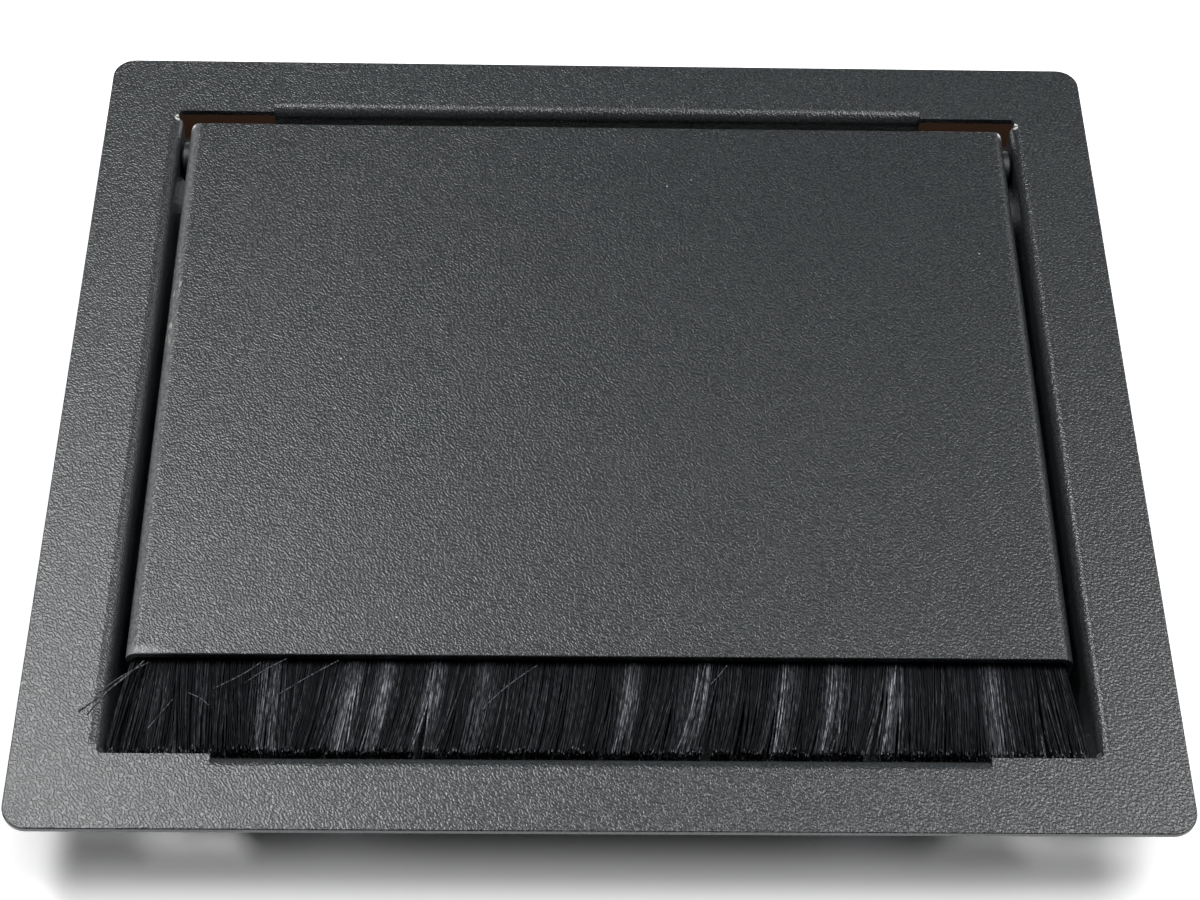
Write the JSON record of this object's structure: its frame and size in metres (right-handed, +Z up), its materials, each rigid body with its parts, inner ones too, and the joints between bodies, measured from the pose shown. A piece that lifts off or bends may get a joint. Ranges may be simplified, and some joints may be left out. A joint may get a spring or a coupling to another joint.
{
  "type": "desk grommet",
  "caption": "Flush desk cable outlet: pressed steel frame, flip-up lid hinged at the back, and a brush that closes the cable slot in front.",
  "frame": {"origin": "middle of the flange's underside, on the desk's top surface", "axes": "+X along the hinge to the right, -Y towards the brush side, +Z up out of the desk"},
  "size_m": [0.16, 0.14, 0.016],
  "materials": {
    "powder_coat": "coarse textured powder coat",
    "bristle_nylon": "black crimped nylon filament",
    "zinc_plate": "bright zinc plated",
    "steel_wire": "drawn steel wire",
    "pin_steel": "turned steel",
    "black_spring_steel": "phosphated spring steel",
    "spring_steel": "blued spring steel",
    "rivet_aluminium": "plain",
    "bush_nylon": "black nylon",
    "boot_rubber": "moulded rubber"
  },
  "bodies": {
    "frame_body": {"frame": "powder_coat", "stop_bracket_left": "powder_coat", "stop_bracket_right": "powder_coat", "stop_boot_left": "boot_rubber", "stop_boot_right": "boot_rubber", "hinge_pin_left": "pin_steel", "hinge_pin_right": "pin_steel", "disc_spring_left": "black_spring_steel", "disc_spring_right": "black_spring_steel", "hinge_washer_left": "zinc_plate", "hinge_washer_right": "zinc_plate", "retaining_clip_left": "black_spring_steel", "retaining_clip_right": "black_spring_steel", "retaining_spring_front_left": "spring_steel", "retaining_spring_front_right": "spring_steel", "retaining_spring_back_left": "spring_steel", "retaining_spring_back_right": "spring_steel", "spring_rivets": "rivet_aluminium"},
    "lid_body": {"lid": "powder_coat", "hinge_bush_left": "bush_nylon", "hinge_bush_right": "bush_nylon", "brush_channel": "zinc_plate", "brush_core_wire": "steel_wire", "bristles": "bristle_nylon", "brush_rail": "zinc_plate", "rail_studs": "zinc_plate", "rail_washers": "zinc_plate", "rail_nuts": "zinc_plate"}
  },
  "joints": [
    {"name": "lid_hinge", "type": "hinge", "parent": "frame_body", "child": "lid_body", "pos_m": [0, 0.052, -0.004], "axis": [-1, 0, 0], "range_deg": [0, 105]}
  ]
}
